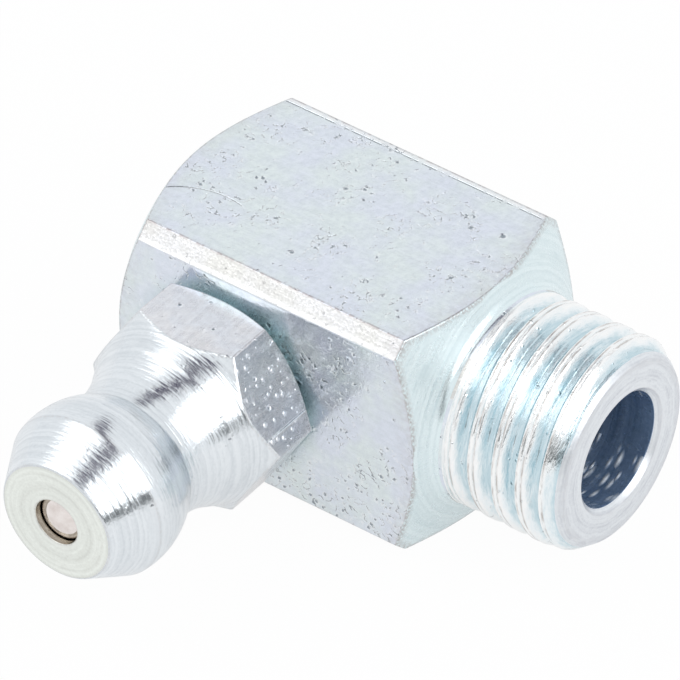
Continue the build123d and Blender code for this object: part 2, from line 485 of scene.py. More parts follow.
cut_mesh.polygons.foreach_set("material_index", elbow_slots.astype(np.int32))
print("faces by finish", np.bincount(elbow_slots, minlength=6))

# %% Worn edges and thread crests of the elbow
points = point_array(cut_mesh)
x, r = points[:, 0], np.hypot(points[:, 1], points[:, 2])
angle = np.arctan2(points[:, 2], points[:, 1])
back_edge, front_edge = back_edge_x(angle), shoulder_edge_x(angle)
of_top_or_bottom = np.abs(np.sin(np.radians(bar_edges))) > np.sqrt(0.5)
edge_wear = np.where(of_top_or_bottom, 1.0, 0.25)
apart = turn_between(angle, np.radians(bar_edges))
along_edges = (edge_wear * near(apart * r[:, None], 0.045 * MM)).max(1)
on_bar = (x > back_edge - 0.1 * MM) & (x < front_edge + 0.1 * MM) & (r > bar_half - 0.01 * MM)
worn = np.where(on_bar, np.maximum.reduce([
    along_edges, near(x - back_edge, 0.06 * MM), near(x - front_edge, 0.075 * MM)]), 0)
on_shank = (x > run_out_start) & (r > outlet_r + mouth_chamfer)
away = from_crest(x, angle)
seam_lips = near(np.abs(away) - 0.1 * MM, 0.03 * MM) * smooth((x - run_out_start) / run_out_length)
at_tip = 0.2 * near(x - tip_x, 0.05 * MM) * (r > tip_face_r - 0.15 * MM)
worn = np.where(on_shank, np.maximum(seam_lips * (r > shank_r - 0.12 * MM), at_tip), worn)
at_mouth = 0.2 * near(r - outlet_r - mouth_chamfer, 0.04 * MM) * (x > tip_x - 0.1 * MM)
store(cut_mesh, "worn_edge", np.maximum(worn, at_mouth))
# The groove's depth, which the thread's finish reads for painted shade in its roots.
store(cut_mesh, "groove", np.where(on_shank, np.clip((shank_r - r) / thread_depth, 0, 1), 0))
print("worn points", int((worn > 0.5).sum()))

# %% [markdown]
# ## The nipple head
# The real head is turned from hexagon bar in one clamping: the flats stay as drawn, and the
# lathe cuts the front, the waist and the ball that the coupler's jaws grip. It could be a
# Spin of a drawn outline with a Boolean hexagon. One grid of direction and station does both,
# because on each direction the chamfers simply run out where the hexagon's radius says.

# %% The head's directions and heights
hex_edges = (np.arange(6) * 60 + hex_turn) % 360
close = (-3.0, -1.8, -1.0, -0.5, -0.2, 0.0, 0.2, 0.5, 1.0, 1.8, 3.0)
theta = directions_with_edges(2.0, hex_edges, close)
theta_count = len(theta)
hex_edge_sharpness = 300.0

def hexagon_radius(angles):
    """Distance from the head's axis to the hexagon's six flats."""
    normals = np.radians(hex_edges + 30)
    return polygon_radius(angles, np.full(6, hex_half), normals, hex_edge_sharpness)

hex_reach = hexagon_radius(theta)

ball_start_h = waist_end_h + neck_land
equator_h = ball_start_h + np.sqrt(ball_head_r**2 - neck_r**2)
cone_h = equator_h + cone_from_equator
cone_r = np.sqrt(ball_head_r**2 - cone_from_equator**2)
print("ball's equator at", round(equator_h / MM, 3), "mm, front at", round(front_h / MM, 3), "mm")

# %% The turned front of the hexagon and the waist, in one curve
def arc_radius(h):
    """The waist's hollow arc, which ends level with the neck."""
    return neck_r + flare_radius - np.sqrt(flare_radius**2 - (waist_end_h - h) ** 2)

def turned_radius(h):
    """Radius of the turned front at a height: steep at the hexagon's corners, then the arc.

    Before the arc it is a Hermite curve: a cubic with a given radius and slope at each end.
    """
    length = waist_start_h - hex_height
    t = np.clip((h - hex_height) / length, 0, 1)
    to_end = waist_end_h - waist_start_h
    arc_slope = to_end / np.sqrt(flare_radius**2 - to_end**2)
    at_corner = hex_corner_r * (1 + 2 * t) - chamfer_slope_at_corner * length * t
    at_arc = arc_radius(waist_start_h) * (3 - 2 * t) + arc_slope * length * (1 - t)
    curve = at_corner * (1 - t) ** 2 + at_arc * t**2
    return np.where(h < waist_start_h, curve, arc_radius(np.maximum(h, waist_start_h)))

front_heights = np.linspace(hex_height, waist_end_h, 200)
front_radii = turned_radius(front_heights)

def flat_end(radius):
    """Height at which the turned front cuts a flat that stands that far from the axis."""
    return np.interp(-radius, -front_radii, front_heights)

# %% Hexagon, waist and ball
hexagon = same_all_round([(0, seat_r)] * 3, theta_count)
hexagon[1] = np.stack([(hex_reach - seat_r) * hex_back_slope, hex_reach], -1)
hexagon[2] = np.stack([flat_end(hex_reach) - 0.04 * MM, hex_reach], -1)
hexagon_rows = stations(hexagon, np.array([0, 0.05, 0]) * MM, [4, 8])

share = np.array([0.01, 0.03, *np.linspace(0.06, 1, 34)])[:, None]
front_h_grid = flat_end(hex_reach) * (1 - share) + waist_end_h * share
waist_rows = np.stack([front_h_grid, turned_radius(front_h_grid)], -1)
ball_angle = np.linspace(np.arcsin((ball_start_h - equator_h) / ball_head_r),
                         np.arcsin(cone_from_equator / ball_head_r), 30)
ball_land = [(ball_start_h - 0.03 * MM, neck_r)]
ball_curve = np.stack([
    equator_h + ball_head_r * np.sin(ball_angle), ball_head_r * np.cos(ball_angle)], -1)
ball_rows = same_all_round(np.concatenate([ball_land, ball_curve[1:-2]]), theta_count)

# %% Front cone, flat, inlet, valve bore, rolled lip and stem
seat_h = front_h - inlet_length
seat_end_h = seat_h - (spring_bore_r - inlet_r)
inside = same_all_round([
    ball_curve[-2], (cone_h, cone_r), (front_h, front_flat_r), (front_h, inlet_r + inlet_edge),
    (front_h - inlet_edge, inlet_r), (seat_h, inlet_r), (seat_end_h, spring_bore_r),
    (lip_thickness - stem_length, spring_bore_r), (lip_thickness - stem_length, lip_r),
    (-stem_length, lip_r), (-stem_length, stem_r - stem_chamfer), (-stem_length + stem_chamfer, stem_r),
    (0, stem_r), (0, seat_r),
], theta_count)
inside_breaks = np.array([
    0, 0.04, 0.08, 0.01, 0.01, 0.03, 0.03, 0.02, 0.03, 0.03, 0.03, 0.03, 0.02, 0]) * MM
inside_rows = stations(inside, inside_breaks, [1, 8, 8, 1, 3, 4, 10, 2, 2, 4, 1, 6, 2])[:-1]

head_profile = np.concatenate([hexagon_rows, waist_rows, ball_rows, inside_rows])
height, radius = head_profile[..., 0].mean(1), head_profile[..., 1].mean(1)
row = np.arange(len(head_profile))
front_rows = 40                  # of inside_rows: the front cone, the flat and the inlet
outside = row < len(hexagon_rows) + len(waist_rows) + len(ball_rows) + front_rows
on_front = outside & (height > front_h - 0.03 * MM)
is_flat = on_front & (radius < front_flat_r - 0.02 * MM) & (radius > inlet_r + 0.01 * MM)
after_flat = row > np.argmax(is_flat)
hexagon_slot, nose_slot, nose_flat_slot, inlet_slot = range(4)
head_slots = np.select(
    [is_flat, after_flat, row < len(hexagon_rows) - 1],
    [nose_flat_slot, inlet_slot, hexagon_slot], nose_slot)
head = mesh_from_rings("head_plated", about_head_axis(head_profile, theta), head_slots, closed=True)
print("head bands by finish", np.bincount(head_slots))

# %% Worn edges of the head
points = point_array(head.data)
out_h = -bar_half - points[:, 1]
out_r = np.hypot(points[:, 0] - head_x, points[:, 2])
around_head = np.arctan2(points[:, 2], points[:, 0] - head_x)
corner_gap = np.abs(turn_between(around_head, np.radians(hex_edges))).min(1)
hex_here = hexagon_radius(around_head)
flat_low = (hex_here - seat_r) * hex_back_slope
flat_high = flat_end(hex_here)
on_hexagon = (out_h > -0.01 * MM) & (out_h < waist_start_h) & (out_r > seat_r - 0.01 * MM)
hex_worn = np.maximum.reduce([
    0.5 * near(out_h - flat_low, 0.05 * MM), 0.6 * near(out_h - flat_high, 0.04 * MM),
    0.5 * near(corner_gap * out_r, 0.04 * MM) * (out_h < flat_high) * (out_h > flat_low)])
front_rim = 0.5 * near(out_h - front_h, 0.05 * MM) * near(out_r - front_flat_r, 0.05 * MM)
inlet_rim = 0.6 * near(out_h - front_h, 0.05 * MM) * near(out_r - inlet_r - inlet_edge, 0.04 * MM)
cone_rim = near(out_h - cone_h, 0.05 * MM) * (out_r > cone_r - 0.1 * MM)
head_worn = np.maximum.reduce([
    np.where(on_hexagon, hex_worn, 0), front_rim, inlet_rim, 0.4 * cone_rim])
store(head.data, "worn_edge", head_worn)
print("points on the head's worn edges", int((head_worn > 0.25).sum()))

# %% [markdown]
# ## The check ball and its spring
# A bearing ball is lapped round and bright, so it is a plain sphere with dense rings. The
# spring is hard-drawn wire with a closed turn at each end, and its wire is a tube carried
# along that path. A curve with a bevel would do it too, but the tube's own frame, which
# always has one axis pointing away from the spring's axis, keeps the wire from twisting.

# %% Check ball
ball_low, ball_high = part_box("check_ball")
ball_centre, check_ball_r = (ball_low + ball_high) / 2, (ball_high.x - ball_low.x) / 2
polar = np.linspace(0, np.pi, 61)
azimuth = np.linspace(0, 2 * np.pi, 96, endpoint=False)
ring_r = (check_ball_r * np.sin(polar))[:, None]
ring_y = ball_centre.y - check_ball_r * np.cos(polar)[:, None]
ball_points = np.stack([
    ball_centre.x + ring_r * np.cos(azimuth), ring_y.repeat(len(azimuth), 1),
    ball_centre.z + ring_r * np.sin(azimuth)], -1)
check_ball = mesh_from_rings("check_ball_lapped", ball_points)

# %% Ball spring
spring_low, spring_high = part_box("ball_spring")
wire_r = 0.18 * MM
coil_r = (spring_high.x - spring_low.x) / 2 - wire_r
spring_length = spring_high.y - spring_low.y
closed_pitch = 2 * wire_r + 0.02 * MM
active_turns, per_turn = 5, 36
turns = np.array([0, 1, 1 + active_turns, 2 + active_turns])
full_reach = spring_length - 2 * wire_r
reach_at_turn = np.array([0, closed_pitch, full_reach - closed_pitch, full_reach])
turn_grid = np.linspace(0, turns[-1], turns[-1] * per_turn + 1)
advance = np.interp(turn_grid, turns, reach_at_turn)
window = 13                      # a running mean that eases the change of pitch
advance = np.convolve(np.pad(advance, window // 2, "edge"), np.ones(window) / window, "valid")
advance[[0, -1]] = reach_at_turn[[0, -1]]
wind = 2 * np.pi * turn_grid
wire_turn = np.linspace(0, 2 * np.pi, 16, endpoint=False)
away_from_axis = np.stack([np.cos(wind), np.zeros_like(wind), np.sin(wind)], -1)
path = np.stack([
    head_x + coil_r * np.cos(wind), spring_high.y - wire_r - advance, coil_r * np.sin(wind)], -1)
along_wire = np.gradient(path, axis=0)
along_wire /= np.linalg.norm(along_wire, axis=1, keepdims=True)
across = np.cross(along_wire, away_from_axis)
round_wire = wire_turn[None, :, None]
tube = path[:, None] + wire_r * (
    np.cos(round_wire) * away_from_axis[:, None] + np.sin(round_wire) * across[:, None])
caps = path[[0, -1]][:, None].repeat(len(wire_turn), 1)
spring = mesh_from_rings("ball_spring_wire", np.concatenate([caps[:1], tube, caps[1:]]))

# %% [markdown]
# ## Building finishes from nodes
# Every finish is a metal, with the metal's own colour as base colour and the default IOR, and with painted
# shade and painted highlights in places: in hollows and on their lips, under the head's seat, in the bore
# and in the thread's roots.
# Metallic is 1, but less in the oiled bore, where a film covers thin zinc. What differs from
# place to place is the tool that made the surface, so each finish has its own grooves, pits and
# speckle. The patterns read the object's coordinates, turned into millimetres first, so that
# every scale below is a real size.

# %% Helpers for nodes and colours
def linear(hex_colour):
    """sRGB hex to linear: the low end is divided by 12.92, the rest follows a power of 2.4."""
    c = np.array([int(hex_colour[k:k + 2], 16) / 255 for k in (1, 3, 5)])
    c = np.where(c <= 0.04045, c / 12.92, ((c + 0.055) / 1.055) ** 2.4)
    return (*c.tolist(), 1.0)

def add(tree, kind, inputs=None, stops=None, **settings):
    """Adds a node, sets its properties and ramp stops, and sets or links its inputs.

    An input is a value, a socket or a node. Of a node, the first output in use is linked.
    """
    node = tree.nodes.new("ShaderNode" + kind)
    for name, value in settings.items():
        setattr(node, name, value)
    for key, value in (inputs or {}).items():
        if isinstance(value, bpy.types.Node):
            value = next(output for output in value.outputs if output.enabled)
        if isinstance(value, bpy.types.NodeSocket):
            tree.links.new(value, node.inputs[key])
        else:
            node.inputs[key].default_value = value
    if stops:
        ramp = node.color_ramp.elements
        while len(ramp) < len(stops):
            ramp.new(0.5)
        for element, (place, colour) in zip(ramp, stops):
            element.position = place
            element.color = linear(colour)
    return node

def empty_tree(owner):
    """The node tree of a material or a world, with nothing in it."""
    owner.use_nodes = True
    owner.node_tree.nodes.clear()
    return owner.node_tree

def start_finish(name):
    """A new material, its empty tree, and the object's coordinates in millimetres."""
    material = bpy.data.materials.new(name)
    tree = empty_tree(material)
    place = add(tree, "TexCoord").outputs["Object"]
    return material, tree, add(tree, "Mapping", {"Vector": place, "Scale": (1000, 1000, 1000)})

def wear_edges(tree, colour, patches, between, share, brown):
    """Browns a colour along worn edges, and breaks the brown up where a noise is low.

    As the noise in patches rises between its two limits, the brown's share rises between two.
    """
    edge = add(tree, "Attribute", attribute_name="worn_edge").outputs["Fac"]
    flaky = add(tree, "MapRange", {
        "Value": patches, "From Min": between[0], "From Max": between[1],
        "To Min": share[0], "To Max": share[1]})
    broken = add(tree, "Math", {0: edge, 1: flaky}, operation="MULTIPLY")
    return add(tree, "Mix", {0: broken, 6: colour, 7: linear(brown)}, data_type="RGBA")

def end_finish(tree, colour, rough, **others):
    """Joins the colour, roughness and other inputs in one metal shader."""
    metal = {"Metallic": 1.0, "Base Color": colour, "Roughness": rough, **others}
    add(tree, "OutputMaterial", {"Surface": add(tree, "BsdfPrincipled", metal)})

# %% [markdown]
# ## Specks of two kinds
# Pickling leaves pits in drawn steel, and bright zinc grows small round nodules. At a glance both are dots
# 0.1 to 0.3 mm wide. A pit is a dent with painted shade in its bottom and a painted highlight on its lip. A
# nodule is a dome that catches a lamp and sparkles where the metal round it looks dark.

# %% Helpers: specks and scratches
def specks(tree, place, spacing, share, small, large):
    """1 in the middle of a round speck and 0 past its radius.

    Space is split into Voronoi cells of that spacing. A share of the cells has a speck, with a
    radius between small and large. All three lengths are in millimetres.
    """
    cells = add(tree, "TexVoronoi", {"Vector": place, "Scale": 1 / spacing})
    dice = add(tree, "SeparateColor", {"Color": cells.outputs["Color"]})
    there = add(tree, "Math", {0: dice.outputs[0], 1: share}, operation="LESS_THAN")
    radius = add(tree, "MapRange", {
        "Value": dice.outputs[1], "To Min": small / spacing, "To Max": large / spacing})
    inside = add(tree, "MapRange", {
        "Value": cells, "From Min": 0.0, "From Max": radius, "To Min": 1.0, "To Max": 0.0},
        interpolation_type="SMOOTHSTEP")
    return add(tree, "Math", {0: inside, 1: there}, operation="MULTIPLY")

def scratch(tree, place, waver, way, centre, radius, width, middle, reach):
    """1 along a scratch. It is where a tube of that radius round an axis meets the surface.

    The axis runs through centre, and way has a 1 for each axis it is square to. A radius of 0
    gives a straight scratch. It fades out where it is further than reach from its middle, and
    where the noise in waver is low.
    """
    offset = add(tree, "VectorMath", {0: place, 1: centre}, operation="SUBTRACT")
    offset = add(tree, "VectorMath", {0: offset, 1: way}, operation="MULTIPLY")
    gap = add(tree, "VectorMath", {0: offset}, operation="LENGTH")
    gap = add(tree, "Math", {0: gap, 1: radius}, operation="SUBTRACT")
    gap = add(tree, "Math", {0: gap}, operation="ABSOLUTE")
    line = add(tree, "MapRange", {"Value": gap, "From Min": width, "From Max": 0.0})
    away = add(tree, "VectorMath", {0: place, 1: middle}, operation="DISTANCE")
    ends = add(tree, "MapRange", {"Value": away, "From Min": reach, "From Max": 0.8 * reach})
    held = add(tree, "MapRange", {"Value": waver, "From Min": 0.4, "From Max": 0.52, "To Min": 0.6})
    ends = add(tree, "Math", {0: held, 1: ends}, operation="MULTIPLY")
    return add(tree, "Math", {0: line, 1: ends}, operation="MULTIPLY")

# %% [markdown]
# ## Drawn bar under bright zinc
# Cold-drawn bar keeps faint lines along its length from the die, and pits where scale was pickled off. Zinc
# plate with a blue-clear chromate lies over both. To the eye it is a pale satin between lavender and green,
# with small pits that gather in patches. Each pit has painted shade in its bottom and a painted highlight on
# its lip.

# %% Parts of the drawn finish
def patchy_shares(tree, mm, pits, hairs, nodules, rougher, extra):
    """Shares of pits, hairlines and nodules: a base, more in patches, and extra on one side.

    hairs is the base and what patches add. Pits gather in the same patches, and nodules don't.
    rougher is a way, and the two distances along it between which the extra comes in.
    """
    way, start, end = rougher
    along = add(tree, "VectorMath", {0: mm, 1: way}, operation="DOT_PRODUCT")
    side = add(tree, "MapRange", {"Value": along, "From Min": start, "From Max": end})
    patch = add(tree, "TexNoise", {"Vector": mm, "Scale": 0.7, "Detail": 2.0, "Roughness": 0.5})
    thick = add(tree, "MapRange", {"Value": patch, "From Min": 0.47, "From Max": 0.62})
    shares = []
    for base, in_patches, more in (pits, 0.2, extra[0]), (*hairs, extra[1]), (nodules, 0.0, extra[2]):
        share = add(tree, "Math", {0: thick, 1: in_patches, 2: base}, operation="MULTIPLY_ADD")
        shares.append(add(tree, "Math", {0: side, 1: more, 2: share}, operation="MULTIPLY_ADD"))
    return shares

def hollows(tree, mm, waver, grit, pit_share, hair_share, dents, scratches):
    """1 in the bottom of pits, hairlines, dents and scratches, and 0 on the sound surface.

    A hairline is where a coarse noise crosses its middle value, broken up by the fine grit.
    """
    bent = add(tree, "VectorMath", {
        0: waver.outputs["Color"], 1: (0.22, 0.22, 0.22), 2: mm}, operation="MULTIPLY_ADD")
    pit = specks(tree, bent, 0.28, pit_share, 0.06, 0.17)
    line = add(tree, "TexNoise", {"Vector": bent, "Scale": 2.2, "Detail": 1.0})
    line = add(tree, "Math", {0: line, 1: 0.5}, operation="SUBTRACT")
    line = add(tree, "Math", {0: line}, operation="ABSOLUTE")
    line = add(tree, "MapRange", {"Value": line, "From Min": 0.04, "From Max": 0.0})
    held = add(tree, "MapRange", {"Value": grit, "From Min": 0.48, "From Max": 0.56, "To Max": 2.5})
    held = add(tree, "Math", {0: hair_share, 1: held}, operation="MULTIPLY", use_clamp=True)
    marks = [add(tree, "Math", {0: line, 1: held}, operation="MULTIPLY")]
    for place, radius in dents:
        gap = add(tree, "VectorMath", {0: mm, 1: place}, operation="DISTANCE")
        marks.append(add(tree, "MapRange", {
            "Value": gap, "From Min": radius, "From Max": 0.3 * radius}))
    marks += [scratch(tree, mm, waver, *numbers) for numbers in scratches]
    hollow = pit
    for mark in marks:
        hollow = add(tree, "Math", {0: hollow, 1: mark}, operation="MAXIMUM")
    return hollow

def chromate_by_seat(tree, mm):
    """Share of painted shade, with a teal tint, in the narrow gap between the head's seat and the elbow's
    flat, where the head casts its contact shadow.
    """
    from_head = add(tree, "VectorMath", {0: mm, 1: (head_x / MM, 0, 0)}, operation="SUBTRACT")
    from_head = add(tree, "VectorMath", {0: from_head, 1: (1, 0, 1)}, operation="MULTIPLY")
    from_head = add(tree, "VectorMath", {0: from_head}, operation="LENGTH")
    by_seat = add(tree, "MapRange", {
        "Value": from_head, "From Min": 4.15, "From Max": 3.4, "To Max": 0.5})
    depth = add(tree, "SeparateXYZ", {0: mm})
    depth = add(tree, "Math", {0: depth.outputs[1], 1: bar_half / MM}, operation="ADD")
    depth = add(tree, "Math", {0: depth}, operation="ABSOLUTE")
    in_gap = add(tree, "MapRange", {"Value": depth, "From Min": 0.5, "From Max": 0.1})
    return add(tree, "Math", {0: by_seat, 1: in_gap}, operation="MULTIPLY")

# %% Drawn zinc, for the bars' flats
def drawn_zinc(name, cool, warm, dull, grain_share, grain_size, rough, lengthwise,
               pits, hairs, nodules, rougher, extra, dents=(), scratches=(), rubs=()):
    """Die lines, two tints in clouds, pits and hairlines in patches, nodules and worn edges.

    pits and nodules are shares of the places that could have one, and hairs is two such shares, everywhere
    and in patches. dents are larger pits, each a place and a radius in mm. scratches and the bright lines
    hold what scratch() needs: a scratch is dark, and each bright line is a painted highlight where an edge
    or a die line catches the light. Hollows get painted shade and their lips a painted highlight, and the
    gap under the head's seat gets painted shade with a teal tint.
    """
    material, tree, mm = start_finish(name)
    waver = add(tree, "TexNoise", {"Vector": mm, "Scale": 5.0, "Detail": 2.0})
    long_mm = add(tree, "Mapping", {"Vector": mm, "Scale": lengthwise})
    streak = add(tree, "TexNoise", {"Vector": long_mm, "Scale": 1.0, "Detail": 4.0, "Roughness": 0.65})
    cloud = add(tree, "TexNoise", {"Vector": mm, "Scale": 0.5, "Detail": 3.0, "Roughness": 0.6})
    grit = add(tree, "TexNoise", {
        "Vector": mm, "Scale": 1 / grain_size, "Detail": 3.0, "Roughness": 0.55})
    tint = add(tree, "ValToRGB", {"Fac": cloud}, stops=[(0.4, cool), (0.62, warm)])
    grain = add(tree, "Math", {0: streak, 1: 0.6, 2: grit}, operation="MULTIPLY_ADD")
    dulled = add(tree, "MapRange", {
        "Value": grain, "From Min": 0.98, "From Max": 0.6, "To Max": grain_share})
    colour = add(tree, "Mix", {0: dulled, 6: tint, 7: linear(dull)}, data_type="RGBA")

    pit_share, hair_share, dome_share = patchy_shares(tree, mm, pits, hairs, nodules, rougher, extra)
    hollow = hollows(tree, mm, waver, grit, pit_share, hair_share, dents, scratches)
    # Painted highlight: a white ring on each hollow's lip, where a raised rim would catch the light. The
    # bright lines below join it.
    outer = add(tree, "Math", {0: 1.0, 1: hollow}, operation="SUBTRACT")
    lip = add(tree, "Math", {0: hollow, 1: outer}, operation="MULTIPLY")
    lip = add(tree, "Math", {0: lip, 1: 1.4}, operation="MULTIPLY")
    for numbers in rubs:
        mark = scratch(tree, mm, waver, *numbers)
        lip = add(tree, "Math", {0: lip, 1: mark}, operation="MAXIMUM")
    # Painted shade: the bottom of each pit, hairline, dent and scratch is painted darker.
    core = add(tree, "MapRange", {
        "Value": hollow, "From Min": 0.35, "From Max": 0.9}, interpolation_type="SMOOTHSTEP")
    # Painted shade, tinted teal, in the gap under the head's seat.
    pooled = chromate_by_seat(tree, mm)
    for share, over in (lip, "#ffffff"), (core, "#99a2a9"), (pooled, "#bacdce"):
        colour = add(tree, "Mix", {0: share, 6: colour, 7: linear(over)}, data_type="RGBA")
    colour = wear_edges(tree, colour, waver, (0.42, 0.6), (0.3, 0.85), "#aea3a2")

    satin = add(tree, "MapRange", {
        "Value": grain, "From Min": 0.6, "From Max": 1.0, "To Min": rough[1], "To Max": rough[0]})
    dome = specks(tree, mm, 0.26, dome_share, 0.05, 0.12)
    relief = add(tree, "Math", {0: dome, 1: hollow}, operation="SUBTRACT")
    grain_height = 0.15 + 0.6 * grain_share
    relief = add(tree, "Math", {0: grain, 1: grain_height, 2: relief}, operation="MULTIPLY_ADD")
    bump = add(tree, "Bump", {"Height": relief, "Strength": 0.6, "Distance": 0.05 * MM})
    end_finish(tree, colour, satin, Normal=bump)
    return material

# %% Marks on the bars, in millimetres
top = bar_half / MM
edge_z = (bar_half - corner_flat) / MM
dents = [((-1.74, 2.34, top), 0.17), ((-10.5, -0.1, top), 0.1),
         ((-10.3, 0.0, top), 0.12), ((-10.1, -0.1, top), 0.09)]
across_x, across_y, across_z = (0, 1, 1), (1, 0, 1), (1, 1, 0)
far_line = (across_x, (0, 3.9, top), 0.0, 0.05, (-6.0, 3.9, top), 9.0)
# Painted highlight: a bright line along the far top edge.
far_rub = (across_x, (0, 4.02, top), 0.0, 0.12, (-6.0, 4.02, top), 9.0)
# Painted highlight: a bright line along the lower edge of the near corner flat.
low_rub = (across_x, (0, -top, edge_z), 0.0, 0.26, (-6.0, -top, edge_z), 9.0)
arc_scratch = (across_z, (-10.65, -4.57, 0), 3.02, 0.035, (-11.72, -1.72, top), 2.0)
die_line = (across_y, (-4.672, 0, 0.562), 0.0, 0.05, (-4.672, -6.2, 0.562), 1.6)
# Painted highlight: a bright line beside the die line on the hexagon.
die_rub = (across_y, (-4.63, 0, 0.484), 0.0, 0.09, (-4.63, -6.2, 0.484), 1.6)

# %% Finishes of the square bar and the hexagon bar
along_x, along_y = (0.35, 7.0, 7.0), (7.0, 0.35, 7.0)
downwards, rightwards = ((0, 0, -1), 1.4, 3.4), ((1, 0, 0), -6.6, -6.1)
flat_zinc = drawn_zinc(
    "zinc_plate_on_drawn_bar", "#e6ebf5", "#e8f0f0", "#ccd4db", grain_share=0.3, grain_size=0.22,
    rough=(0.16, 0.24), lengthwise=along_x, pits=0.03, hairs=(0.0, 0.4), nodules=0.06,
    rougher=downwards, extra=(0.7, 0.3, 0.2), dents=dents,
    scratches=(far_line, arc_scratch), rubs=(far_rub,))
corner_zinc = drawn_zinc(
    "zinc_plate_on_bar_corner", "#e5e5e7", "#e4e3df", "#c7c6c3", grain_share=0.75, grain_size=0.09,
    rough=(0.24, 0.36), lengthwise=along_x, pits=0.0, hairs=(0.0, 0.0), nodules=0.1,
    rougher=downwards, extra=(0.0, 0.0, 0.0), rubs=(low_rub,))
hexagon_zinc = drawn_zinc(
    "zinc_plate_on_hexagon_bar", "#f1f0f1", "#ebeef4", "#cfd0d4", grain_share=0.3, grain_size=0.3,
    rough=(0.2, 0.3), lengthwise=along_y, pits=0.02, hairs=(0.0, 0.0), nodules=0.08,
    rougher=rightwards, extra=(0.0, 0.0, 0.6), scratches=(die_line,), rubs=(die_rub,))
print("drawn finishes for the square bar, its corners and the hexagon")

# %% [markdown]
# ## Turned surfaces under zinc
# A turning tool leaves a fine spiral, here 0.05 to 0.16 mm from groove to groove. Zinc plate
# follows it and stays bright. To the eye it is a row of thin bright and dark rings round the
# axis, which tear the reflections into ragged bands.

# %% Turned zinc, about the thread's axis or the head's axis
def turned_zinc(name, axis_way, axis_place, pale, dull, feed, depth, rough,
                nodules=0.1, metal=1.0, strokes=0.0):
    """Rings round an axis: noise that reads only the place along the axis and the radius.

    axis_way has a 1 for the axis it turns about, and axis_place is a point on it in mm. metal is below 1
    where a film of chromate and oil lies over thin zinc. The last argument is the share of painted glints on
    the lower side of a bore near its mouth, where the wall catches the light. They are short white flecks,
    matt instead of metal.
    """
    material, tree, mm = start_finish(name)
    from_axis = add(tree, "VectorMath", {0: mm, 1: axis_place}, operation="SUBTRACT")
    along = add(tree, "VectorMath", {0: from_axis, 1: axis_way}, operation="DOT_PRODUCT")
    sideways = tuple(1 - way for way in axis_way)
    cross = add(tree, "VectorMath", {0: from_axis, 1: sideways}, operation="MULTIPLY")
    radial = add(tree, "VectorMath", {0: cross}, operation="LENGTH")
    lathe = add(tree, "CombineXYZ", {0: along, 1: radial, 2: 0.0})
    cloud = add(tree, "TexNoise", {"Vector": mm, "Scale": 1.1, "Detail": 3.0, "Roughness": 0.6})
    grit = add(tree, "TexNoise", {"Vector": mm, "Scale": 9.0, "Detail": 3.0, "Roughness": 0.7})
    waver = add(tree, "VectorMath", {
        0: cloud.outputs["Color"], 1: (0.12, 0.12, 0.3)}, operation="MULTIPLY")
    lathe_place = add(tree, "VectorMath", {0: lathe, 1: waver}, operation="ADD")
    ring = add(tree, "TexNoise", {
        "Vector": lathe_place, "Scale": 0.5 / feed, "Detail": 2.0, "Roughness": 0.6})
    grain = add(tree, "Math", {0: grit, 1: 0.5}, operation="MULTIPLY")
    tone = add(tree, "Math", {0: ring, 1: grain}, operation="ADD")
    colour = add(tree, "ValToRGB", {"Fac": tone}, stops=[(0.5, dull), (0.88, pale)])
    colour = wear_edges(tree, colour, grit, (0.38, 0.6), (0.0, 0.8), "#ada4a2")
    # Painted glints: white matt flecks on the lower side of the bore, where its lit wall catches the light.
    if strokes:
        height = add(tree, "SeparateXYZ", {0: mm})
        low = add(tree, "MapRange", {
            "Value": height.outputs[2], "From Min": -1.2, "From Max": -1.5,
            "To Min": 0.05, "To Max": strokes})
        long_mm = add(tree, "Mapping", {"Vector": mm, "Scale": (1, 0.28, 0.28)})
        stroke = specks(tree, long_mm, 0.2, low, 0.07, 0.15)
        colour = add(tree, "Mix", {0: stroke, 6: colour, 7: linear("#f4f8fa")}, data_type="RGBA")
        ring = add(tree, "Math", {0: stroke, 1: 0.7, 2: ring}, operation="MULTIPLY_ADD")
        metal = add(tree, "Math", {0: stroke, 1: -metal, 2: metal}, operation="MULTIPLY_ADD")
    satin = add(tree, "MapRange", {
        "Value": cloud, "From Min": 0.35, "From Max": 0.65, "To Min": rough[0], "To Max": rough[1]})
    dome = specks(tree, mm, 0.26, nodules, 0.05, 0.11)
    bump = add(tree, "Bump", {"Height": ring, "Strength": 0.7, "Distance": depth})
    fine = add(tree, "Math", {0: grit, 1: 0.5, 2: dome}, operation="MULTIPLY_ADD")
    fine_bump = add(tree, "Bump", {
        "Height": fine, "Strength": 0.4, "Distance": 0.02 * MM, "Normal": bump})
    end_finish(tree, colour, satin, Metallic=metal, Normal=fine_bump)
    return material

# %% Finishes that the lathe and the drill leave
thread_axis, head_axis = ((1, 0, 0), (0, 0, 0)), ((0, 1, 0), (head_x / MM, 0, 0))
cone_zinc = turned_zinc(
    "zinc_plate_on_turned_cone", *thread_axis, "#e7f3f5", "#d8e6e9",
    feed=0.09, depth=0.03 * MM, rough=(0.2, 0.32))
end_zinc = turned_zinc(
    "zinc_plate_on_faced_end", *thread_axis, "#ebeef1", "#d6d9de",
    feed=0.05, depth=0.008 * MM, rough=(0.34, 0.48), nodules=0.2)
nose_zinc = turned_zinc(
    "zinc_plate_on_turned_nose", *head_axis, "#eaeef1", "#dadfe3",
    feed=0.07, depth=0.034 * MM, rough=(0.12, 0.22), nodules=0.2)
nose_flat_zinc = turned_zinc(
    "zinc_plate_on_nose_flat", *head_axis, "#f3f6f0", "#dcded8",
    feed=0.14, depth=0.02 * MM, rough=(0.34, 0.46))
